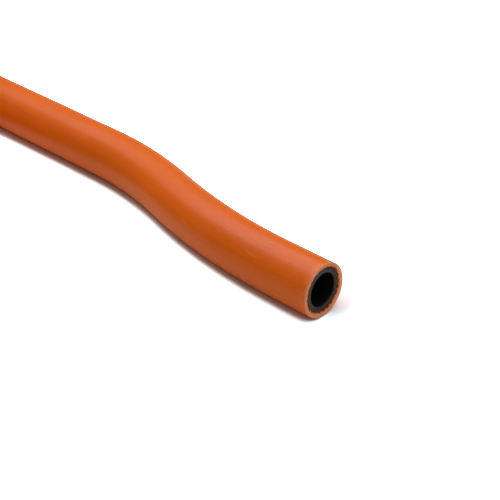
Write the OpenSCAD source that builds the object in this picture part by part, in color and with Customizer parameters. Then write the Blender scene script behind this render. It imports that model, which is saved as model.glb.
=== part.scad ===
// Rubber gas tubing: a black liner, a braid of yarn round it and an orange cover, bonded into one wall.
// One length of it lies on a flat surface. Its free end runs out in a slow curve, and the rest is
// wound into a flat coil, with the other end inside the coil. Both ends are cut off square.

/* [Wall] */
// Bore of the tubing, which pushes on to a gas tap or a burner
bore_d = 8; // [6:0.5:10]
// Thickness of the black liner round the bore
liner_wall = 1; // [0.6:0.1:1.5]
// Mean thickness of the braid of yarn between the liner and the cover
braid_wall = 0.35; // [0.3:0.05:0.6]
// Thickness of the orange cover outside the braid
cover_wall = 1.15; // [0.8:0.05:2]

/* [Braid] */
// How many bundles of yarn stand out round the cut ends
yarns = 24; // [16:2:30]
// Width of one bundle of yarn
yarn_w = 0.9; // [0.6:0.1:1.1]
// How far a bundle stands proud of the braid's mean surface
yarn_rise = 0.15; // [0.1:0.05:0.25]

/* [Route] */
// Length of the whole tubing along its middle
tube_l = 1000; // [950:10:1200]
// Straight length at each cut end, which a nozzle fills
end_l = 12; // [8:1:20]
// Radius of the first bend behind the free end, to the right
bend_r = 150; // [100:10:180]
// Radius of the bend that follows it, to the left
back_r = 100; // [60:10:160]

/* [Coil] */
// Radius of the coil's outermost half turn
coil_r = 77; // [72:1:82]
// Half turns before the last one, each nearer the middle by half a pitch
half_turns = 3; // [2:1:3]
// Room between turns that lie side by side
turn_gap = 0.5; // [0.3:0.1:2]
// How much tighter the last half turn is, which brings the inner end clear of the others
tuck = 4.75; // [3:0.25:7]

/* [Hidden] */
$fn = 96;
cover_colour = [0.76, 0.36, 0.13];
braid_colour = [0.32, 0.2, 0.13];
liner_colour = [0.14, 0.14, 0.15];

// Radii of the bonded surfaces, from the bore outwards.
bore_r = bore_d / 2;
liner_r = bore_r + liner_wall;
braid_r = liner_r + braid_wall;
tube_r = braid_r + cover_wall;

// The two bends lean by a slope of 7 in 24, so both end on round coordinates and meet exactly.
lean_sin = 7 / 25;
lean_cos = 24 / 25;
lean = atan2(lean_sin, lean_cos);
// The free end points to the front right, this far off the X axis.
front_turn = 45;

pitch = 2 * tube_r + turn_gap;
tail_r = turn_r(half_turns) - tuck;
// The straight stretch before the coil takes up what the bends, turns and ends leave of the length.
run_l = tube_l - 2 * end_l - (bend_r + back_r) * lean * PI / 180 - wound(half_turns) - PI * tail_r;

// Each piece of the route is its kind and its length, or the radius that it bends to.
ROUTE = [
    ["cut end", end_l],
    ["right bend", bend_r],
    ["left bend", back_r],
    ["straight", run_l],
    for (i = [0:half_turns - 1]) ["half turn", turn_r(i)],
    ["half turn", tail_r],
    ["cut end", end_l]
];

// Radius of half turn number i, counted from the outside of the coil.
function turn_r(i) = coil_r - i * pitch / 2;
// Length of tubing in the first n half turns.
function wound(n) = n == 0 ? 0 : wound(n - 1) + PI * turn_r(n - 1);

module ring(outer_r, inner_r) {
    difference() {
        circle(r = outer_r);
        circle(r = inner_r);
    }
}

// The braid's outer outline at a cut end, where the bundles of yarn stand out like teeth.
module bundles() {
    circle(r = braid_r);
    for (i = [0:yarns - 1])
        rotate(i * 360 / yarns)
            translate([braid_r + yarn_rise - yarn_w / 2, 0])
                circle(d = yarn_w);
}

// The outline of one layer. The bundles show only at a cut, so elsewhere the braid is a plain ring.
module layer_section(layer, kind) {
    if (layer == "liner")
        ring(liner_r, bore_r);
    else if (layer == "braid")
        difference() {
            if (kind == "cut end") bundles();
            else circle(r = braid_r);
            circle(r = liner_r);
        }
    else
        difference() {
            circle(r = tube_r);
            if (kind == "cut end") bundles();
            else circle(r = braid_r);
        }
}

module straight_piece(layer, kind, length) {
    rotate([90, 0, 90])
        linear_extrude(length)
            layer_section(layer, kind);
}

// A layer turned through an angle to the left, about an axis that is one radius to the left.
module turned_piece(layer, radius, angle) {
    translate([0, radius, 0])
        rotate_extrude(angle = angle, start = -90)
            translate([radius, 0])
                layer_section(layer, "turned");
}

// The wedge that trims a turned piece to the slope of 7 in 24.
module lean_wedge(radius) {
    reach = 2 * radius;
    translate([0, radius, 0])
        linear_extrude(4 * tube_r, center = true)
            polygon([[0, 0], [0, -reach], [reach * lean_sin, -reach * lean_cos]]);
}

module left_bend(layer, radius) {
    intersection() {
        turned_piece(layer, radius, 2 * lean);
        lean_wedge(radius);
    }
}

// One piece of the route, which starts at the origin and sets out along X.
module route_piece(layer, kind, size) {
    if (kind == "left bend")
        left_bend(layer, size);
    else if (kind == "right bend")
        mirror([0, 1, 0]) left_bend(layer, size);
    else if (kind == "half turn")
        turned_piece(layer, size, 180);
    else
        straight_piece(layer, kind, size);
}

// Moves its children to where a piece ends, facing the way that it ends.
module after_piece(kind, size) {
    rise = size * (1 - lean_cos);
    if (kind == "left bend")
        translate([size * lean_sin, rise, 0]) rotate(lean) children();
    else if (kind == "right bend")
        translate([size * lean_sin, -rise, 0]) rotate(-lean) children();
    else if (kind == "half turn")
        translate([0, 2 * size, 0]) rotate(180) children();
    else
        translate([size, 0, 0]) children();
}

// The route from piece number i on, for one layer.
module route_from(layer, i = 0) {
    if (i < len(ROUTE)) {
        kind = ROUTE[i][0];
        size = ROUTE[i][1];
        route_piece(layer, kind, size);
        after_piece(kind, size) route_from(layer, i + 1);
    }
}

// A whole layer, with the free end at the origin and pointing to the front right.
module laid_out(layer) {
    rotate(180 - front_turn) route_from(layer);
}

module cover() {
    color(cover_colour) laid_out("cover");
}

module braid() {
    color(braid_colour) laid_out("braid");
}

module liner() {
    color(liner_colour) laid_out("liner");
}

cover();
braid();
liner();
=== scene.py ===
# %% [markdown]
# Rubber gas tubing for a studio picture
# The real thing is a hose with a wall of three layers: a black liner that holds the gas, a braid of yarn
# that keeps it from swelling, and an orange cover. Each layer is a piece of its own here, and all three
# show at the cut end. The CAD model is loaded first, because every piece lies where its solid lies. All
# lengths are in metres, and the tubing rests on a surface half its own width below the origin.

# %% Load the frame
import math
import random

import bmesh
import bpy
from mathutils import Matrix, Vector, noise


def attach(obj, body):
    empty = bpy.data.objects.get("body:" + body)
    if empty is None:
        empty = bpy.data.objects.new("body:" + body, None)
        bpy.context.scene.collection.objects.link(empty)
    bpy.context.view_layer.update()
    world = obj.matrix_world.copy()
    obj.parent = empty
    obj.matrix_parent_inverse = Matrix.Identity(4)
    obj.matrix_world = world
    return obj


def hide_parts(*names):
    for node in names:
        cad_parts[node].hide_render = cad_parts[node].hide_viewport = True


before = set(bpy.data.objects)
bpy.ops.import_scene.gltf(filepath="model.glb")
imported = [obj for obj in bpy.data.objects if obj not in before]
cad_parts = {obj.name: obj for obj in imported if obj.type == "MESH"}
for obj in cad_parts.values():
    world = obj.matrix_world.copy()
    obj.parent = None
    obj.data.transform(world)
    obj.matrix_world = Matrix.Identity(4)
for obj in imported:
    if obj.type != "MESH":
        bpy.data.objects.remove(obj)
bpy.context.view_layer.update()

scene = bpy.context.scene
print("nodes:", ", ".join(sorted(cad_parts)))

# %% [markdown]
# The camera comes next, since the picture decides how much detail each end of the tubing needs. A guess
# by eye is rarely right for a round cut, whose outline changes with every degree. So the place was fitted
# to the outline and the bore in the photograph. The camera looks down at about a third of a right angle
# through a short telephoto lens, with no roll and no shift.

# %% Camera
CAMERA_PLACE = (-0.02299, -0.21173, 0.1462)
LOOK_DOWN = math.radians(32.62)
LOOK_RIGHT = math.radians(1.95)
LENS_MM = 85.75
SENSOR_MM = 36
NEAREST_SEEN = 0.01

camera_data = bpy.data.cameras.new("photo_camera")
camera_data.lens = LENS_MM
camera_data.sensor_width = SENSOR_MM
camera_data.clip_start = NEAREST_SEEN
camera = bpy.data.objects.new("photo_camera", camera_data)
camera.location = CAMERA_PLACE
camera.rotation_euler = (math.pi / 2 - LOOK_DOWN, 0, -LOOK_RIGHT)
scene.collection.objects.link(camera)
scene.camera = camera
print("camera looks down", round(math.degrees(LOOK_DOWN), 1), "degrees")

# %% [markdown]
# The wall is the same all along the tubing, so a handful of sizes describes it. They are the ones of the
# CAD model, and every later step takes them from here.

# %% Sizes of the wall
BORE_R = 0.004
LINER_R = 0.005
BRAID_R = 0.00535
TUBE_R = 0.0065
TUBE_L = 1.0
print("wall:", round(1000 * (TUBE_R - BORE_R), 2), "mm thick, bore:", 2000 * BORE_R, "mm")

# %% [markdown]
# A hose has one length and lies on one smooth line. The line could be drawn by hand as a spline, but then
# its length and its bends would only be about right. Here it is a list of arcs and straight stretches,
# the same list as in the CAD model: out of the cut end, a slow bend to the right, one to the left, a
# straight run, and then half turns that wind inwards to the coil that holds the spare length.

# %% Stretches of the route
END_L = 0.012
BEND_R = 0.150
BACK_R = 0.100
LEAN = math.atan2(7, 24)
COIL_R = 0.077
HALF_TURNS = 3
TURN_GAP = 0.0005
TUCK = 0.00475

pitch = 2 * TUBE_R + TURN_GAP
coil_radii = [COIL_R - i * pitch / 2 for i in range(HALF_TURNS)]
coil_radii.append(COIL_R - HALF_TURNS * pitch / 2 - TUCK)
wound = sum(math.pi * r for r in coil_radii)
run_l = TUBE_L - 2 * END_L - (BEND_R + BACK_R) * LEAN - wound

# Each stretch is its length and its curvature, which is positive where it bends to the left.
ROUTE = [
    (END_L, 0),
    (BEND_R * LEAN, -1 / BEND_R),
    (BACK_R * LEAN, 1 / BACK_R),
    (run_l, 0),
    *[(math.pi * r, 1 / r) for r in coil_radii],
    (END_L, 0),
]
print("wound up:", round(wound, 3), "m, straight run:", round(run_l, 3), "m")

# %% [markdown]
# Walking along that list in small steps gives the points of the line. On an arc the next point follows
# from the arc's own formula, so no error adds up over the metre of tubing.

# %% Walk along the route
START_HEADING = math.radians(135)
STEP = 0.001


def walk(route, step):
    """Points along the route, a step or so apart."""
    x, y, heading = 0.0, 0.0, START_HEADING
    points = [Vector((x, y, 0))]
    for length, curve in route:
        count = math.ceil(length / step)
        for i in range(1, count + 1):
            done = length * i / count
            if curve:
                turned = heading + curve * done
                across = math.sin(turned) - math.sin(heading)
                ahead = Vector((across, math.cos(heading) - math.cos(turned), 0))
                point = Vector((x, y, 0)) + ahead / curve
            else:
                point = Vector((x, y, 0)) + done * Vector((math.cos(heading), math.sin(heading), 0))
            points.append(point)
        x, y = points[-1].x, points[-1].y
        heading += curve * length
    return points


path = walk(ROUTE, STEP)
path_length = sum((b - a).length for a, b in zip(path, path[1:]))
print("route:", len(path), "points,", round(path_length, 5), "m")

# %% [markdown]
# Materials and Geometry Nodes are both graphs of small boxes. Written out box by box they are long and
# hard to read, so two small classes help. Wire stands for one output of a node, and a sum written with
# wires becomes Math nodes. In all but a division a plain number may come first.

# %% A wire and its sums


class Wire:
    """One output of a node. Sums written with it add Math nodes to its graph."""

    def __init__(self, graph, socket):
        self.graph = graph
        self.socket = socket

    def out(self, name):
        """Another output of the same node."""
        return Wire(self.graph, find_socket(self.socket.node.outputs, name))

    def maths(self, operation, *values):
        """A Math node of this kind, with these numbers or wires as its inputs."""
        return self.graph.add("ShaderNodeMath", {"operation": operation}, dict(enumerate(values)))

    def __add__(self, other):
        return self.maths("ADD", self, other)

    __radd__ = __add__

    def __sub__(self, other):
        return self.maths("SUBTRACT", self, other)

    def __rsub__(self, other):
        return self.maths("SUBTRACT", other, self)

    def __mul__(self, other):
        return self.maths("MULTIPLY", self, other)

    __rmul__ = __mul__

    def __truediv__(self, other):
        return self.maths("DIVIDE", self, other)


def find_socket(sockets, name):
    """The socket in use that has this name or number."""
    if isinstance(name, int):
        return sockets[name]
    return next(s for s in sockets if s.enabled and name in (s.name, s.identifier))


print("sums for wires: + - * /")

# %% [markdown]
# Graph adds any node in one call: its type, then its settings, which come first because they decide
# which sockets there are, and then plain values or wires for its inputs. A short trial shows what a sum
# becomes.

# %% A graph that adds any node


class Graph:
    """A node tree, with one method that adds any node to it."""

    def __init__(self, tree):
        self.tree = tree

    def add(self, kind, settings=None, values=None, out=0):
        """A new node, and a wire from one of its outputs. A list goes to a socket that joins wires."""
        made = self.tree.nodes.new(kind)
        for name, value in (settings or {}).items():
            setattr(made, name, value)
        for name, value in (values or {}).items():
            socket = find_socket(made.inputs, name)
            for one in value if isinstance(value, list) else [value]:
                if isinstance(one, Wire):
                    self.tree.links.new(one.socket, socket)
                else:
                    socket.default_value = one
        return Wire(self, find_socket(made.outputs, out)) if made.outputs else None

    def vector(self, operation, *values, out="Vector"):
        """A Vector Math node of this kind, with these places or wires as its inputs."""
        return self.add("ShaderNodeVectorMath", {"operation": operation}, dict(enumerate(values)), out)

    def scaled(self, vector, factor):
        """A vector made longer or shorter by a factor."""
        scaling = {"Vector": vector, "Scale": factor}
        return self.add("ShaderNodeVectorMath", {"operation": "SCALE"}, scaling)


trial = bpy.data.node_groups.new("trial", "ShaderNodeTree")
trial_sum = 1 - Graph(trial).add("ShaderNodeValue") * 2
print("1 - value * 2 becomes", len(trial.nodes), "nodes")
bpy.data.node_groups.remove(trial)

# %% [markdown]
# Rubber is never one flat colour. It has slow clouds where the mix or the cure varied, fine lines drawn
# along it by the die, and pale marks where it was handled. All of these belong to the tubing and not to
# the room, so they are drawn in the tubing's own coordinates: where each point lay while the tubing was
# still straight. The tree that lays the tubing out keeps that place in an attribute named straight.

# %% Places on the straight tubing
STRAIGHT = "straight"


def straight_place(graph):
    """Where a point lay on the straight tubing: x along it, y and z across it."""
    return graph.add("ShaderNodeAttribute", {"attribute_name": STRAIGHT}, out="Vector")


def depth_from_end(graph, place):
    """How far a point lies from the nearer cut end, along the straight tubing."""
    along = graph.add("ShaderNodeSeparateXYZ", None, {0: place}, "X")
    return along.maths("MINIMUM", along, TUBE_L - along)


def distance_out(graph, place):
    """How far a point lies from the tubing's middle line."""
    across = graph.vector("MULTIPLY", place, (0, 1, 1))
    return graph.vector("LENGTH", across, out="Value")


print("patterns follow the attribute", STRAIGHT)

# %% [markdown]
# A few patterns serve both rubbers and the yarn. Grain is noise of a given size in metres, which can be
# drawn out along the tubing. Smooth turns any value into a soft mask, and blend mixes two colours by one.
# A knife leaves fine lines too, but across the cut, so they have a noise of their own.

# %% Helpers for patterns


def grain(graph, place, size, stretch=1.0, detail=3.0):
    """Noise with features of about this size, drawn out along the tubing by stretch."""
    fitted = graph.vector("MULTIPLY", place, (1 / (size * stretch), 1 / size, 1 / size))
    return graph.add("ShaderNodeTexNoise", None, {"Vector": fitted, "Scale": 1.0, "Detail": detail})


def smooth(value, low, high):
    """0 up to low and 1 from high on, with a soft ramp between them."""
    return value.graph.add(
        "ShaderNodeMapRange",
        {"interpolation_type": "SMOOTHSTEP"},
        {"Value": value, "From Min": low, "From Max": high},
    )


def blend(graph, factor, one, other):
    """Colour one where the factor is 0, and the other where it is 1."""
    return graph.add(
        "ShaderNodeMix",
        {"data_type": "RGBA"},
        {"Factor": factor, "A": one, "B": other},
        "Result",
    )


KNIFE_LINE = 0.00011
KNIFE_STRETCH = 10
KNIFE_DETAIL = 2.0


def knife_lines(graph, place):
    """Fine lines that the blade left across a cut face, all one way."""
    fitted = (0, 1 / KNIFE_LINE, 1 / (KNIFE_LINE * KNIFE_STRETCH))
    drawn = graph.vector("MULTIPLY", place, fitted)
    return graph.add("ShaderNodeTexNoise", None, {"Vector": drawn, "Scale": 1.0, "Detail": KNIFE_DETAIL})


print("knife lines are", 1000 * KNIFE_LINE, "mm apart")

# %% [markdown]
# Every material starts empty and ends in the same way, in one Principled shader with a bump. Its shine is
# the share of light that a surface mirrors head on. Soft rubber mirrors less than hard plastic does.

# %% How a material starts and ends


def new_material(name):
    """An empty material, and the graph that fills it."""
    material = bpy.data.materials.new(name)
    material.use_nodes = True
    material.node_tree.nodes.clear()
    return material, Graph(material.node_tree)


def dress(graph, colour, roughness, height, bump_depth, shine):
    """Ends a material in a shader with this colour, roughness, relief and shine."""
    normal = graph.add("ShaderNodeBump", None, {"Height": height, "Distance": bump_depth})
    shader = graph.add(
        "ShaderNodeBsdfPrincipled",
        None,
        {"Base Color": colour, "Roughness": roughness, "Normal": normal, "Specular IOR Level": shine},
    )
    graph.add("ShaderNodeOutputMaterial", None, {"Surface": shader})
    print("  ends with", len(graph.tree.nodes), "nodes")


print("materials end in one shader each")

# %% [markdown]
# The cover is orange rubber with a satin skin. Its highlight is broad and soft, and no texture shows in
# it from a distance, so its clouds and lines stay faint. Each scuff is a short pale streak where the
# tubing rubbed on something: a soft oval mask at one place along and round it.

# %% Skin of the cover
ORANGE = (0.82, 0.139, 0.003, 1)
DEEP_ORANGE = (0.74, 0.117, 0.002, 1)
# Pale orange of handled spots and scuffs, also used for the painted highlight along the cut end.
HANDLED_AND_HIGHLIGHT = (0.84, 0.25, 0.07, 1)
SCUFF_SHARE = 0.45
SCUFF_GRAIN = 0.0003

# Each scuff is its place along the tubing, its angle round it, half its length, half its width and its
# slope.
SCUFFS = [
    (0.0166, math.radians(40), 0.0024, 0.00024, -0.08),
    (0.0146, math.radians(81), 0.0010, 0.00020, 0.05),
    (0.0385, math.radians(24), 0.0018, 0.00022, -0.15),
    (0.0930, math.radians(120), 0.0022, 0.00030, 0.15),
]


def scuff(graph, place, along, angle, half_length, half_width, slope):
    """A mask that is 1 inside one short streak on the skin."""
    facing = graph.vector("DOT_PRODUCT", place, (0, math.cos(angle), math.sin(angle)), out="Value")
    sideways = graph.vector("DOT_PRODUCT", place, (0, -math.sin(angle), math.cos(angle)), out="Value")
    ahead = graph.add("ShaderNodeSeparateXYZ", None, {0: place}, "X") - along
    u = ahead / half_length
    v = (sideways + ahead * slope) / half_width
    return (1 - smooth(u * u + v * v, 0.1, 1.0)) * smooth(facing, 0.5 * TUBE_R, 0.8 * TUBE_R)


def scuffed(graph, place):
    """The mask of all scuffs together, broken up as a rubbed mark is."""
    marks = [scuff(graph, place, *one) for one in SCUFFS]
    total = sum(marks[1:], marks[0])
    return total * smooth(grain(graph, place, SCUFF_GRAIN), 0.1, 0.5)


print("scuffs on the skin:", len(SCUFFS))

# %% [markdown]
# Where the knife went through, the rubber is matt and paler, and the paler the nearer it lies to the
# skin. The top of the face is painted darker, as painted shade, and one side is painted paler, as a
# painted highlight. A real cut shows no sharp borders between such colours, so they are blended by soft
# masks, and small chips and the blade's own lines break them up.

# %% Colours of the cut
CUT_ORANGE = (0.72, 0.21, 0.08, 1)
RIM_ORANGE = (0.90, 0.36, 0.20, 1)
# Painted highlight: the paler orange of one side of the cut face.
LIT_SIDE_ORANGE = (0.95, 0.50, 0.34, 1)
# Painted shade: the darker orange of the top of the cut face.
SHADED_TOP_ORANGE = (0.60, 0.23, 0.11, 1)
RIM = 0.00025
CUT_CHIPS = 0.0004


def painted_light_side(graph, place):
    """A mask that is 1 on the side of the cut that gets a painted highlight."""
    side = graph.add("ShaderNodeSeparateXYZ", None, {0: place}, "Y")
    return smooth(0 - side, 0.3 * TUBE_R, TUBE_R)


def cut_colour(graph, place):
    """The colour of the cut face, with chips and the blade's streaks in it, painted shade at its top and
    a painted highlight on one side.
    """
    outer = smooth(distance_out(graph, place), BRAID_R, TUBE_R - RIM)
    chips = smooth(grain(graph, place, CUT_CHIPS), 0.35, 0.65)
    streaks = smooth(knife_lines(graph, place), 0.35, 0.65)
    face = blend(graph, outer * 0.5 + chips * 0.25 + streaks * 0.25, CUT_ORANGE, RIM_ORANGE)
    # Painted highlight: one side of the face is made paler.
    face = blend(graph, painted_light_side(graph, place) * outer * 0.7, face, LIT_SIDE_ORANGE)
    # Painted shade: the top of the face is made darker.
    upwards = graph.add("ShaderNodeSeparateXYZ", None, {0: place}, "Z")
    return blend(graph, smooth(upwards, 0.4 * TUBE_R, TUBE_R) * 0.7, face, SHADED_TOP_ORANGE)


print("the skin gives way to the cut over", 1000 * RIM, "mm")

# %% [markdown]
# A second material on the end faces would do for the cut, but then its border would follow the faces of
# the mesh. One material with a mask lets the skin run softly over the rounded edge instead. The mask is
# the distance from the nearer end, and it reaches a little further on the side with the painted
# highlight. The skin itself is two oranges that differ little, in clouds, lines and specks, and near the
# end it is painted paler, as a painted highlight along the rounded edge.

# %% Material of the cover
# How much further the pale cut reaches on the side with the painted highlight.
LIT_SIDE_REACH = 0.0004
# How far the painted highlight along the cut end reaches.
END_HIGHLIGHT_L = 0.0022
RIM_CHIPS = 0.0006
CLOUDS = 0.014
DIE_LINES = 0.0011
SPECKS = 0.0005
HANDLED_SPOTS = 0.010
SKIN_ROUGH = 0.29
CUT_ROUGH = 0.72
COVER_SHINE = 0.28
COVER_RELIEF = 0.00005


def cover_material():
    """Orange rubber with a satin skin, and a matt, paler face where it was cut."""
    material, graph = new_material("cover_rubber")
    place = straight_place(graph)
    depth = depth_from_end(graph, place)
    chips = grain(graph, place, RIM_CHIPS)
    # On the side with the painted highlight, the pale cut reaches a little further onto the skin.
    lit_reach = painted_light_side(graph, place) * LIT_SIDE_REACH
    cut = 1 - smooth(depth + (chips - 0.5) * RIM - lit_reach, 0.7 * RIM, 1.7 * RIM)
    # Painted highlight: the skin is made paler along the cut end, where the rounded edge catches light.
    end_highlight = (1 - smooth(depth, 0.0, END_HIGHLIGHT_L)) * smooth(chips, 0.25, 0.6)
    clouds = grain(graph, place, CLOUDS, stretch=2.5)
    lines = grain(graph, place, DIE_LINES, stretch=60)
    specks = grain(graph, place, SPECKS, detail=4)
    tone = clouds * 0.6 + lines * 0.25 + specks * 0.15
    skin = blend(graph, smooth(tone, 0.35, 0.65), DEEP_ORANGE, ORANGE)
    handled = smooth(grain(graph, place, HANDLED_SPOTS), 0.5, 0.8) * smooth(specks, 0.4, 0.7)
    # Handled spots are real pale wear; the band along the end is the painted highlight.
    skin = blend(graph, handled * 0.22 + end_highlight * 0.5, skin, HANDLED_AND_HIGHLIGHT)
    rubbed = scuffed(graph, place)
    skin = blend(graph, rubbed * SCUFF_SHARE, skin, HANDLED_AND_HIGHLIGHT)
    colour = blend(graph, cut, skin, cut_colour(graph, place))
    roughness = (clouds * 0.12 + SKIN_ROUGH + rubbed * 0.2) * (1 - cut) + cut * CUT_ROUGH
    height = (specks * 0.5 + lines * 0.3) * (1 - cut) + knife_lines(graph, place) * cut
    dress(graph, colour, roughness, height, COVER_RELIEF, COVER_SHINE)
    return material


cover_rubber = cover_material()

# %% [markdown]
# The braid shows only at the cut, as the ends of brown yarn between the two rubbers. One brown would make
# it a painted ring, while real strands differ. So every strand has a tone of its own, which its Geometry
# Nodes tree stores, and the ground between the strands has tone 0 and is painted dark, as painted shade
# in the gaps between them.

# %% Material of the braid
# The darkest yarn tone, also used as painted shade on the ground between the strands.
YARN_DARK_AND_GAP_SHADE = (0.080, 0.022, 0.014, 1)
YARN_LIGHT = (0.46, 0.135, 0.075, 1)
TONE = "strand_tone"
FIBRES = 0.00012
YARN_ROUGH = 0.8
YARN_SHINE = 0.2
YARN_RELIEF = 0.00003


def braid_material():
    """Dull brown yarn, in which each strand has a tone of its own, with painted shade between the
    strands.
    """
    material, graph = new_material("braid_yarn")
    place = straight_place(graph)
    tone = graph.add("ShaderNodeAttribute", {"attribute_name": TONE}, out="Fac")
    fibres = grain(graph, place, FIBRES, stretch=6)
    colour = blend(graph, smooth(tone * 0.8 + fibres * 0.2, 0.0, 1.0), YARN_DARK_AND_GAP_SHADE, YARN_LIGHT)
    dress(graph, colour, fibres * 0.1 + YARN_ROUGH, fibres, YARN_RELIEF, YARN_SHINE)
    return material


braid_yarn = braid_material()

# %% [markdown]
# The liner is black rubber. Its skin inside the bore is smooth, with faint lines from the rod it was
# formed on, and its cut is a dull grey. The top of the face is painted a bluish grey, as a painted
# highlight. On one side the blade dragged brown dust of the yarn over the face. The height and the side
# on the straight tubing serve as masks for the two.

# %% Material of the liner
BLACK = (0.009, 0.008, 0.009, 1)
CUT_GREY = (0.018, 0.016, 0.025, 1)
# Painted highlight: the bluish grey at the top of the cut face.
TOP_HIGHLIGHT_GREY = (0.031, 0.037, 0.105, 1)
YARN_DUST = (0.080, 0.045, 0.042, 1)
LINER_SPECKS = 0.0004
ROD_LINES = 0.0009
BORE_ROUGH = 0.34
LINER_CUT_ROUGH = 0.5
LINER_SHINE = 0.3
LINER_RELIEF = 0.00004


def liner_material():
    """Smooth black rubber, dull grey where it was cut, with a painted highlight at the top of the cut."""
    material, graph = new_material("liner_rubber")
    place = straight_place(graph)
    cut = 1 - smooth(depth_from_end(graph, place), 0.3 * RIM, RIM)
    specks = grain(graph, place, LINER_SPECKS, detail=4)
    lines = grain(graph, place, ROD_LINES, stretch=50)
    upwards = graph.add("ShaderNodeSeparateXYZ", None, {0: place}, "Z")
    # Painted highlight at the top of the cut face, broken up by specks.
    top_highlight = smooth(upwards, 0.4 * LINER_R, LINER_R) * smooth(specks, 0.3, 0.6)
    dusty = smooth(upwards.out("Y"), 0.4 * LINER_R, 0.9 * LINER_R) * smooth(specks, 0.3, 0.6)
    face = blend(graph, dusty * 0.7, blend(graph, top_highlight, CUT_GREY, TOP_HIGHLIGHT_GREY), YARN_DUST)
    colour = blend(graph, cut * (specks * 0.4 + 0.8), BLACK, face)
    roughness = (specks * 0.1 + BORE_ROUGH) * (1 - cut) + cut * LINER_CUT_ROUGH
    height = lines * 0.5 * (1 - cut) + (specks + knife_lines(graph, place)) * cut * 0.5
    dress(graph, colour, roughness, height, LINER_RELIEF, LINER_SHINE)
    return material


liner_rubber = liner_material()
print("materials:", cover_rubber.name, braid_yarn.name, liner_rubber.name)

# %% [markdown]
# Each layer is made straight first, as it leaves the factory, and laid along the route afterwards. A
# layer is a closed wall: its section is one loop of points, along the outside, round the cut, back along
# the inside and round the other cut. Each point of the loop becomes a ring. Rings that show the bundles
# of yarn need three times as many points as the others, so a helper joins rings of unequal counts.

# %% Join two rings
AROUND = 96
FINE = 3 * AROUND


def join_rings(mesh, one, other):
    """Faces between two rings, of which one may have three times the other's points."""
    if len(one) < len(other):
        return join_rings(mesh, other, one)
    ratio = len(one) // len(other)
    for i in range(len(one)):
        here, there = one[i], one[(i + 1) % len(one)]
        near = other[(i // ratio) % len(other)]
        far = other[(i // ratio + 1) % len(other)]
        if ratio == 1 or i % ratio == 1:
            mesh.faces.new((here, there, far, near))
        elif i % ratio == 0:
            mesh.faces.new((here, there, near))
        else:
            mesh.faces.new((here, there, far))


print("rings have", AROUND, "points, or", FINE, "where the yarn shows")

# %% [markdown]
# With that, a wall is a loop over its rings. The normals are recalculated at the end, because the loop
# runs forwards on the outside and backwards on the inside.

# %% A straight wall


def straight_wall(name, rings):
    """A closed wall from the rings of its section, each a place along it, a radius rule and a count."""
    mesh = bmesh.new()
    made = []
    for x, radius, count in rings:
        ring = []
        for i in range(count):
            angle = 2 * math.pi * i / count
            r = radius(x, angle)
            ring.append(mesh.verts.new((x, r * math.cos(angle), r * math.sin(angle))))
        made.append(ring)
    for one, other in zip(made, made[1:] + made[:1]):
        join_rings(mesh, one, other)
    bmesh.ops.recalc_face_normals(mesh, faces=mesh.faces)
    data = bpy.data.meshes.new(name)
    mesh.to_mesh(data)
    mesh.free()
    piece = bpy.data.objects.new(name, data)
    scene.collection.objects.link(piece)
    print(name, len(rings), "rings,", len(data.polygons), "faces")
    return piece


print("a wall is made ring by ring")

# %% [markdown]
# No yarn lies perfectly even. Each bundle stands out round the cut by its own amount, from a fixed seed,
# and presses the rubber of the cover back by as much. A function of the angle gives this outline, and the
# plainer parts of the wall have rules of the same form.

# %% Rules for the radius
BUNDLES = 24
CREST_LOW = 0.00004
CREST_HIGH = 0.00026
CREST_FALL = 1.4
CREST_FLOOR = -0.5
CREST_SHIFT = 0.22
SWELL = 0.00005
SWELL_ALONG = 60
SWELL_ROUND = 1.2

crest_dice = random.Random(11)
crests = [crest_dice.uniform(CREST_LOW, CREST_HIGH) for _ in range(BUNDLES)]
shifts = [crest_dice.uniform(-CREST_SHIFT, CREST_SHIFT) for _ in range(BUNDLES)]


def bundle_radius(x, angle):
    """The outline of the braid at a cut: a rounded crest for each bundle of yarn."""
    place = angle / (2 * math.pi) * BUNDLES
    nearest = round(place)
    across = 2 * (place - nearest - shifts[nearest % BUNDLES])
    return BRAID_R + crests[nearest % BUNDLES] * max(CREST_FLOOR, 1 - CREST_FALL * across * across)


def plain(radius):
    """A radius that is the same everywhere."""
    return lambda x, angle: radius


def swollen(radius):
    """The outside of the cover, which is round to within a few hundredths of a millimetre."""
    def rule(x, angle):
        place = (x * SWELL_ALONG, SWELL_ROUND * math.cos(angle), SWELL_ROUND * math.sin(angle))
        return radius + SWELL * noise.noise(Vector(place))
    return rule


print("crests:", round(1000 * min(crests), 2), "to", round(1000 * max(crests), 2), "mm")

# %% [markdown]
# Rings lie a millimetre apart where the camera sees the tubing and wider apart beyond, just close enough
# for the coil to look round. The inside of the wall is hidden, so it needs fewer still. A knife never
# leaves a sharp edge on rubber, so a few more rings round the edges of the cut.

# %% Where the rings lie
SEEN_L = 0.150
PAST_RIM = 0.001
TEETH_L = 0.0010
PLAIN_L = 0.0018
RIM_STEPS = 4

# The gap between rings where the camera sees the tubing, and the gap beyond.
SKIN_GAPS = (0.001, 0.0025)
BORE_GAPS = (0.002, 0.004)
HIDDEN_GAPS = (0.004, 0.006)


def spaced(start, end, gap):
    """Places from start to end, both included, about a gap apart."""
    count = max(1, math.ceil((end - start) / gap))
    return [start + (end - start) * i / count for i in range(count + 1)]


def wall_places(start, fine_gap, wide_gap):
    """Places for rings along a wall, closer together near the free end."""
    return spaced(start, SEEN_L, fine_gap) + spaced(SEEN_L, TUBE_L - start, wide_gap)[1:]


def rounded_rim(radius, inset, centre_r):
    """Places and radii of rings that round an edge of the near cut, from the face to the wall."""
    rim = []
    for i in range(RIM_STEPS + 1):
        turn = math.pi / 2 * i / RIM_STEPS
        rim.append((inset * (1 - math.cos(turn)), centre_r + (radius - centre_r) * math.sin(turn)))
    return rim


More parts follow.
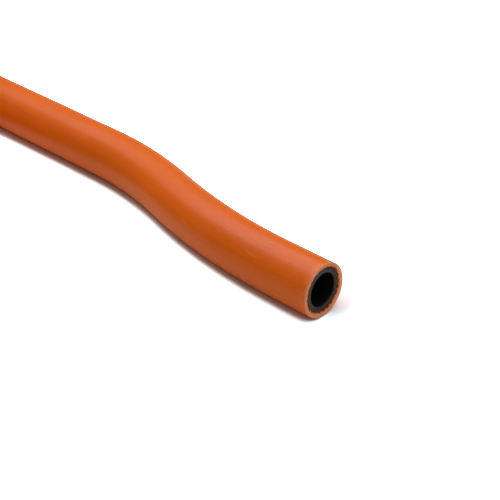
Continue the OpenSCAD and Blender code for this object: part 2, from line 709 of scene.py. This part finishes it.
print("rings outside the cover:", len(wall_places(PAST_RIM, *SKIN_GAPS)))

# %% [markdown]
# The cover has its rounded edge on the outside, and the bundles press into it from the inside. Its
# outside swells and shrinks by hundredths of a millimetre, just enough to make the highlight live.

# %% The cover


def cover_rings():
    """The cover's section: near face, outside, far face and inside."""
    rim = [(x, plain(r), AROUND) for x, r in rounded_rim(TUBE_R, RIM, TUBE_R - RIM)]
    outside = [(x, swollen(TUBE_R), AROUND) for x in wall_places(PAST_RIM, *SKIN_GAPS)]
    far_rim = [(TUBE_L - x, radius, count) for x, radius, count in reversed(rim)]
    inside = [(x, plain(BRAID_R), AROUND) for x in reversed(wall_places(PLAIN_L, *HIDDEN_GAPS))]
    near_face = [(0.0, bundle_radius, FINE)]
    far_teeth = [(TUBE_L, bundle_radius, FINE), (TUBE_L - TEETH_L, bundle_radius, FINE)]
    near_teeth = [(TEETH_L, bundle_radius, FINE)]
    return near_face + rim + outside + far_rim + far_teeth + inside + near_teeth


cover = straight_wall("tubing_cover", cover_rings())

# %% [markdown]
# The braid is a thin sleeve. Its outline has the bundles for the first millimetre, where they can be
# seen, and is round further in, where nobody looks.

# %% The braid


def braid_rings():
    """The braid's section: teeth and outside, then the inside, which lies on the liner."""
    outside = [(x, plain(BRAID_R), AROUND) for x in wall_places(PLAIN_L, *HIDDEN_GAPS)]
    inside = [(x, plain(LINER_R), AROUND) for x in reversed(wall_places(TEETH_L, *HIDDEN_GAPS))]
    near_teeth = [(0.0, bundle_radius, FINE), (TEETH_L, bundle_radius, FINE)]
    far_teeth = [(TUBE_L - TEETH_L, bundle_radius, FINE), (TUBE_L, bundle_radius, FINE)]
    near_foot = [(0.0, plain(LINER_R), AROUND)]
    far_foot = [(TUBE_L, plain(LINER_R), AROUND)]
    return near_teeth + outside + far_teeth + far_foot + inside + near_foot


braid = straight_wall("tubing_braid", braid_rings())

# %% [markdown]
# The liner has its rounded edge round the bore, where it catches a thin line of light.

# %% The liner


def liner_rings():
    """The liner's section: outside, rounded edge, bore and the other rounded edge."""
    bore_rim = [(x, plain(r), AROUND) for x, r in rounded_rim(BORE_R, RIM, BORE_R + RIM)]
    outside = [(x, plain(LINER_R), AROUND) for x in wall_places(0.0, *HIDDEN_GAPS)]
    far_rim = [(TUBE_L - x, radius, count) for x, radius, count in bore_rim]
    inside = [(x, plain(BORE_R), AROUND) for x in reversed(wall_places(PAST_RIM, *BORE_GAPS))]
    return outside + far_rim + inside + list(reversed(bore_rim))


liner = straight_wall("tubing_liner", liner_rings())

# %% [markdown]
# Geometry Nodes do the rest: they fill the cut with strands and lay the layers out. Every tree has named
# inputs for its sizes, ends in plain geometry with a material, and is baked to a mesh afterwards, so that
# other programs can read the result.

# %% Start and end a tree


def new_tree(name, inputs):
    """A Geometry Nodes tree with named inputs, and a wire from each of them."""
    tree = bpy.data.node_groups.new(name, "GeometryNodeTree")
    for label, kind in inputs.items():
        tree.interface.new_socket(label, in_out="INPUT", socket_type=kind)
    tree.interface.new_socket("Geometry", in_out="OUTPUT", socket_type="NodeSocketGeometry")
    graph = Graph(tree)
    first = graph.add("NodeGroupInput")
    return graph, {label: first.out(label) for label in inputs}


def end_tree(graph, geometry, material):
    """Ends a tree in plain geometry with its material set."""
    real = graph.add("GeometryNodeRealizeInstances", None, {"Geometry": geometry})
    dressed = graph.add("GeometryNodeSetMaterial", None, {"Geometry": real, "Material": material})
    graph.add("NodeGroupOutput", None, {"Geometry": dressed})
    print(graph.tree.name, "has", len(graph.tree.nodes), "nodes")
    return graph.tree


print("a tree ends in Realize Instances and Set Material")

# %% [markdown]
# A modifier keeps its inputs under the identifiers of the sockets, not under their names, so a helper
# looks these up. Baking replaces the piece's mesh by what the modifiers make of it and takes them off.

# %% Use and bake a tree
SHARP = math.radians(40)


def modify(piece, tree, values):
    """Adds a tree to a piece and sets its inputs, each by its socket's identifier."""
    modifier = piece.modifiers.new(tree.name, "NODES")
    modifier.node_group = tree
    for item in tree.interface.items_tree:
        if item.in_out == "INPUT" and item.name in values:
            modifier[item.identifier] = values[item.name]


def bake(piece):
    """Turns what the modifiers make into the piece's own plain mesh."""
    depsgraph = bpy.context.evaluated_depsgraph_get()
    made = bpy.data.meshes.new_from_object(
        piece.evaluated_get(depsgraph), preserve_all_data_layers=True, depsgraph=depsgraph
    )
    piece.modifiers.clear()
    piece.data = made
    made.shade_smooth()
    made.set_sharp_from_angle(angle=SHARP)
    made.name = piece.name
    triangles = sum(len(face.vertices) - 2 for face in made.polygons)
    print(piece.name, triangles, "triangles")


print("edges over", round(math.degrees(SHARP)), "degrees stay sharp")

# %% [markdown]
# A cut through a hose is never a perfect plane. The blade squeezes the wall before it bites, so the cut
# springs back as a shallow dish, and it leans a little because a hand held the knife. This part of the
# laying tree finds how far each point moves along the tubing for that, fading out over a few millimetres.

# %% How a cut end gives way
LAYING_INPUTS = {
    "Geometry": "NodeSocketGeometry",
    "Route": "NodeSocketObject",
    "Cut lean": "NodeSocketVector",
    "Cut dish": "NodeSocketFloat",
    "Dish from": "NodeSocketFloat",
    "Dish to": "NodeSocketFloat",
    "Cut depth": "NodeSocketFloat",
    "Material": "NodeSocketMaterial",
}


def give_way(graph, given, place, along, length):
    """How far a point of a leaning, dished cut lies from where a square cut has it."""
    depth = along.maths("MINIMUM", along, length - along)
    near_cut = along.maths("MAXIMUM", 1 - depth / given["Cut depth"], 0.0)
    leaning = graph.vector("DOT_PRODUCT", place, given["Cut lean"], out="Value")
    outward = along.maths("SIGN", along - length * 0.5)
    dished = smooth(distance_out(graph, place), given["Dish from"], given["Dish to"])
    return (leaning + outward * dished * given["Cut dish"]) * near_cut


print("the laying tree has", len(LAYING_INPUTS), "inputs")

# %% [markdown]
# Now the tree that lays a layer along the route. A curve modifier could do it, but it twists and
# stretches what it bends. This tree looks up the route at each point's place along the straight tubing
# and sets the point off from there, by as much to the side and upwards as it lay before. Since the sweep
# is kept apart from what is swept, the strands of yarn follow it too.

# %% The tree that lays a layer along the route


def laying_tree():
    """The tree that moves each point of a straight layer to its place beside the route."""
    graph, given = new_tree("Lay along the route", LAYING_INPUTS)
    route = graph.add("GeometryNodeObjectInfo", None, {"Object": given["Route"]}, "Geometry")
    length = graph.add("GeometryNodeCurveLength", None, {"Curve": route})
    place = graph.add("GeometryNodeInputPosition")
    along = graph.add("ShaderNodeSeparateXYZ", None, {0: place}, "X")
    moved_along = along + give_way(graph, given, place, along, length)
    inside = along.maths("MINIMUM", along.maths("MAXIMUM", moved_along, 0.0), length)
    sample = graph.add(
        "GeometryNodeSampleCurve", {"mode": "LENGTH"}, {"Curves": route, "Length": inside}, "Position"
    )
    ahead = sample.out("Tangent")
    side = graph.vector("CROSS_PRODUCT", (0, 0, 1), ahead)
    height = graph.add("ShaderNodeCombineXYZ", None, {"Z": along.out("Z")})
    laid = graph.vector("ADD", sample, graph.scaled(side, along.out("Y")))
    laid = graph.vector("ADD", laid, height)
    laid = graph.vector("ADD", laid, graph.scaled(ahead, moved_along - inside))
    kept = graph.add(
        "GeometryNodeStoreNamedAttribute",
        {"data_type": "FLOAT_VECTOR", "domain": "POINT"},
        {"Geometry": given["Geometry"], "Name": STRAIGHT, "Value": place},
    )
    moved = graph.add("GeometryNodeSetPosition", None, {"Geometry": kept, "Position": laid})
    return end_tree(graph, moved, given["Material"])


lay = laying_tree()

# %% [markdown]
# The cut strands are hundreds of small stubs. Placing them by hand, or in a loop in Python, would make
# them hard to change, so a second tree sets them out. It starts from one point for each bundle, copies
# the point once for each strand and spreads the copies over the bundle's width and depth, at random from
# the tree's seed. Every random value has an offset of its own to that seed, or else the wide strands
# would all be the pale ones too. On one side the yarn is frayed, and its strands lie further in, over the
# liner.

# %% Points for the strands
STRAND_INPUTS = {
    "Geometry": "NodeSocketGeometry",
    "Bundles": "NodeSocketInt",
    "Strands": "NodeSocketInt",
    "Ring radius": "NodeSocketFloat",
    "Bundle width": "NodeSocketFloat",
    "Bundle depth": "NodeSocketFloat",
    "Frayed side": "NodeSocketVector",
    "Fray": "NodeSocketFloat",
    "Strand radius": "NodeSocketFloat",
    "Strand length": "NodeSocketFloat",
    "Buried": "NodeSocketFloat",
    "Tube length": "NodeSocketFloat",
    "Seed": "NodeSocketInt",
    "Material": "NodeSocketMaterial",
}


FULLY_FRAYED = 0.9


def dice(graph, given, low, high, offset):
    """A random number for each point, from the tree's seed and this use's offset."""
    return graph.add(
        "FunctionNodeRandomValue",
        {"data_type": "FLOAT"},
        {"Min": low, "Max": high, "Seed": given["Seed"] + offset},
        "Value",
    )


def strand_points(graph, given):
    """One point for each strand, in a ring that stands upright across the tubing."""
    ring = graph.add(
        "GeometryNodeMeshCircle", None, {"Vertices": given["Bundles"], "Radius": given["Ring radius"]}
    )
    raised = {"Geometry": ring, "Rotation": (0, math.pi / 2, 0)}
    upright = graph.add("GeometryNodeTransform", None, raised)
    copied = {"Geometry": upright, "Amount": given["Strands"]}
    many = graph.add("GeometryNodeDuplicateElements", {"domain": "POINT"}, copied)
    outward = graph.vector("NORMALIZE", graph.add("GeometryNodeInputPosition"))
    sideways = graph.vector("CROSS_PRODUCT", (1, 0, 0), outward)
    towards = graph.vector("DOT_PRODUCT", outward, given["Frayed side"], out="Value")
    frayed = smooth(towards, 0.0, FULLY_FRAYED) * given["Fray"] * dice(graph, given, 0.0, 1.0, 8)
    across = graph.scaled(sideways, given["Bundle width"] * dice(graph, given, -0.5, 0.5, 1))
    through = graph.scaled(outward, given["Bundle depth"] * dice(graph, given, -0.5, 0.5, 2) - frayed)
    offset = graph.vector("ADD", across, through)
    return graph.add("GeometryNodeSetPosition", None, {"Geometry": many, "Offset": offset})


print("the strand tree has", len(STRAND_INPUTS), "inputs")

# %% [markdown]
# Each point then gets a stub of seven sides, which is enough at a fifth of a millimetre across. It leans
# a little its own way and has its own size and tone. The stubs start inside the braid and stand out of
# the cut by a hair, and a second set, turned round, goes to the far end.

# %% The tree that sets the cut strands of yarn
STUB_SIDES = 7
STUB_TAPER = 0.6
STUB_LEAN = 0.3
STUB_SCALES = (0.75, 1.15)
STUB_TONES = (0.15, 1.0)


def stubs_on(graph, given, points):
    """A leaning stub on each point, with a tone of its own."""
    stub = graph.add(
        "GeometryNodeMeshCone",
        None,
        {
            "Vertices": STUB_SIDES,
            "Radius Top": given["Strand radius"] * STUB_TAPER,
            "Radius Bottom": given["Strand radius"],
            "Depth": given["Strand length"],
        },
        "Mesh",
    )
    leans = [dice(graph, given, -STUB_LEAN, STUB_LEAN, offset) for offset in (3, 4, 5)]
    lean = graph.add(
        "ShaderNodeCombineXYZ", None, {"X": leans[0], "Y": leans[1] - math.pi / 2, "Z": leans[2]}
    )
    scale = dice(graph, given, *STUB_SCALES, 6)
    tips = graph.add(
        "GeometryNodeInstanceOnPoints",
        None,
        {"Points": points, "Instance": stub, "Rotation": lean, "Scale": scale},
    )
    return graph.add(
        "GeometryNodeStoreNamedAttribute",
        {"data_type": "FLOAT", "domain": "INSTANCE"},
        {"Geometry": tips, "Name": TONE, "Value": dice(graph, given, *STUB_TONES, 7)},
    )


def strands_tree():
    """The tree that adds cut strands of yarn at both ends of the braid."""
    graph, given = new_tree("Cut strands", STRAND_INPUTS)
    stubs = stubs_on(graph, given, strand_points(graph, given))
    sunk = graph.add("ShaderNodeCombineXYZ", None, {"X": given["Buried"]})
    near = graph.add("GeometryNodeTransform", None, {"Geometry": stubs, "Translation": sunk})
    beyond = graph.add("ShaderNodeCombineXYZ", None, {"X": given["Tube length"]})
    far = graph.add(
        "GeometryNodeTransform",
        None,
        {"Geometry": near, "Translation": beyond, "Rotation": (0, 0, math.pi)},
    )
    parts = {"Geometry": [given["Geometry"], near, far]}
    joined = graph.add("GeometryNodeJoinGeometry", None, parts)
    return end_tree(graph, joined, given["Material"])


strands = strands_tree()

# %% [markdown]
# The strands fill the ring between the liner and the crests, about twenty to a bundle. The yarn is
# frayed at the lower right, where the blade came out and dragged it.

# %% Fill the cut with strands
STRANDS = 22
STRAND_R = 0.00009
STRAND_L = 0.0005
BURIED = 0.00035
YARN_RING_R = 0.00515
BUNDLE_WIDTH = 0.00095
BUNDLE_DEPTH = 0.00062
FRAYED_SIDE = (0, -0.6, -0.8)
FRAY = 0.0008
STRAND_SEED = 5

modify(
    braid,
    strands,
    {
        "Bundles": BUNDLES,
        "Strands": STRANDS,
        "Ring radius": YARN_RING_R,
        "Bundle width": BUNDLE_WIDTH,
        "Bundle depth": BUNDLE_DEPTH,
        "Frayed side": FRAYED_SIDE,
        "Fray": FRAY,
        "Strand radius": STRAND_R,
        "Strand length": STRAND_L,
        "Buried": BURIED,
        "Tube length": TUBE_L,
        "Seed": STRAND_SEED,
        "Material": braid_yarn,
    },
)
print("strands at each end:", BUNDLES * STRANDS)

# %% [markdown]
# The route becomes a curve for the time of the laying. The same tree then lays all three layers, so they
# stay nested, and each is baked. The lean and the dish of the cut were fitted to the photograph.

# %% Lay the three layers out
CUT_LEAN = (0, -math.tan(math.radians(1.0)), math.tan(math.radians(2.2)))
CUT_DISH = 0.00050
CUT_DEPTH = 0.004

route_data = bpy.data.curves.new("route", "CURVE")
route_data.dimensions = "3D"
route_line = route_data.splines.new("POLY")
route_line.points.add(len(path) - 1)
for route_point, place_on_path in zip(route_line.points, path):
    route_point.co = (*place_on_path, 1)
route = bpy.data.objects.new("route", route_data)
scene.collection.objects.link(route)

for piece, rubber in ((cover, cover_rubber), (braid, braid_yarn), (liner, liner_rubber)):
    modify(
        piece,
        lay,
        {
            "Route": route,
            "Cut lean": CUT_LEAN,
            "Cut dish": CUT_DISH,
            "Dish from": LINER_R,
            "Dish to": TUBE_R,
            "Cut depth": CUT_DEPTH,
            "Material": rubber,
        },
    )
for piece in (cover, braid, liner):
    bake(piece)
bpy.data.objects.remove(route)

# %% [markdown]
# All three lie still, so they ride on the root, and the CAD model's own pieces are hidden. The cover has
# the hose's real length and width, and the two inner layers go with it.

for piece, node_name, slot_name in (
    (cover, "cover", "cover_rubber"),
    (braid, "braid", "braid_yarn"),
    (liner, "liner", "liner_rubber"),
):
    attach(piece, "root")
    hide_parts(node_name)
print("declared:", cover.name, braid.name, liner.name)

# %% [markdown]
# The picture has a white ground with a narrow dark shadow where the tubing touches it, as an overexposed
# sheet of paper gives. Brighter lamps would bleach the rubber as well. Instead the sheet is a pale cream
# for the light that it throws up, which keeps the rubber's underside a full orange, where white light
# would turn it greyish. The camera alone sees it brighter, which whitens the wide soft part of the
# shadow. Its core stays dark, because the sheet is only that bright where enough of the sky is open to
# it, and an Ambient Occlusion node measures that. The bright colour has less red in it near the tubing,
# since the rubber throws orange light there, and it clips to white all the same. Only beside the mouth
# is the sheet seen nearly as it is, so the soft shadow shows there.

# %% Floor
FLOOR_R = 3.0
FLOOR_SIDES = 96
FLOOR_CREAM = (0.86, 0.79, 0.54, 1)
OPEN_SEEN = (2.8, 4.4, 4.8, 1)
CORE_SEEN = (1.0, 1.05, 0.96, 1)
OPEN_LOW = 0.29
OPEN_HIGH = 0.40
OPEN_REACH = 0.05
OPEN_SAMPLES = 24
BESIDE_MOUTH = (0.005, 0.006, -TUBE_R)
BESIDE_SEEN = (1.14, 1.06, 1.03, 1)
BESIDE_FROM = 0.002
BESIDE_TO = 0.016
FAR_SEEN = (5.0, 5.0, 5.0, 1)
FAR_FROM = 0.30
FAR_TO = 0.45


def studio_floor():
    """A round sheet under the tubing, white to the camera away from the shadow's core."""
    mesh = bmesh.new()
    bmesh.ops.create_circle(mesh, cap_ends=True, radius=FLOOR_R, segments=FLOOR_SIDES)
    bmesh.ops.translate(mesh, verts=mesh.verts, vec=(0, 0, -TUBE_R))
    data = bpy.data.meshes.new("studio_floor")
    mesh.to_mesh(data)
    mesh.free()
    floor = bpy.data.objects.new("studio_floor", data)
    scene.collection.objects.link(floor)
    material, graph = new_material("studio_floor")
    seen = graph.add("ShaderNodeLightPath", out="Is Camera Ray")
    open_sky = graph.add(
        "ShaderNodeAmbientOcclusion", {"samples": OPEN_SAMPLES}, {"Distance": OPEN_REACH}, "AO"
    )
    place = graph.add("ShaderNodeTexCoord", out="Object")
    away = graph.vector("DISTANCE", place, BESIDE_MOUTH, out="Value")
    open_seen = blend(graph, smooth(away, BESIDE_FROM, BESIDE_TO), BESIDE_SEEN, OPEN_SEEN)
    open_seen = blend(graph, smooth(away, FAR_FROM, FAR_TO), open_seen, FAR_SEEN)
    overexposed = blend(graph, smooth(open_sky, OPEN_LOW, OPEN_HIGH), CORE_SEEN, open_seen)
    paper = blend(graph, seen, FLOOR_CREAM, overexposed)
    shader = graph.add("ShaderNodeBsdfDiffuse", None, {"Color": paper})
    graph.add("ShaderNodeOutputMaterial", None, {"Surface": shader})
    data.materials.append(material)
    print("floor:", 2 * FLOOR_R, "m across, at", -TUBE_R, "m")


studio_floor()

# %% [markdown]
# The room gives weak light, more from above than from the sides. The camera sees it as plain white.

# %% World
SKY_LOW = 0.10
SKY_HIGH = 0.42
SKY_FROM = 0.35
SKY_TO = 0.85


def studio_world():
    """Weak white light from all round, and plain white for the camera."""
    world = bpy.data.worlds.new("studio")
    world.use_nodes = True
    world.node_tree.nodes.clear()
    graph = Graph(world.node_tree)
    seen = graph.add("ShaderNodeLightPath", out="Is Camera Ray")
    direction = graph.add("ShaderNodeTexCoord", out="Generated")
    up = graph.add("ShaderNodeSeparateXYZ", None, {0: direction}, "Z")
    sky = smooth(up, SKY_FROM, SKY_TO) * (SKY_HIGH - SKY_LOW) + SKY_LOW
    strength = seen + sky * (1 - seen)
    light = graph.add("ShaderNodeBackground", None, {"Color": (1, 1, 1, 1), "Strength": strength})
    graph.add("ShaderNodeOutputWorld", None, {"Surface": light})
    scene.world = world
    print("world has", len(graph.tree.nodes), "nodes")


studio_world()

# %% [markdown]
# The broad highlight on the upper side tells where the lamp was: a large softbox overhead, a little
# behind the tubing. It is slightly cool, and the warm light from the sheet makes up for that. A small
# weak one to the right lights the cut face, as it does in the photograph.

# %% Lamps
SLIGHTLY_COOL = (0.866, 0.893, 1.0)
PLAIN_WHITE = (1.0, 1.0, 1.0)


def softbox(name, place, width, watts, tint):
    """A square lamp that faces the mouth of the tubing, at the origin."""
    data = bpy.data.lights.new(name, "AREA")
    data.size = width
    data.energy = watts
    data.color = tint
    lamp = bpy.data.objects.new(name, data)
    lamp.location = place
    lamp.rotation_euler = (-Vector(place)).to_track_quat("-Z", "Y").to_euler()
    scene.collection.objects.link(lamp)


softbox("overhead_softbox", place=(-0.08, 0.22, 0.54), width=0.60, watts=3.14, tint=SLIGHTLY_COOL)
softbox("right_softbox", place=(0.40, -0.10, 0.22), width=0.30, watts=0.5, tint=PLAIN_WHITE)
scene.view_settings.view_transform = "Standard"
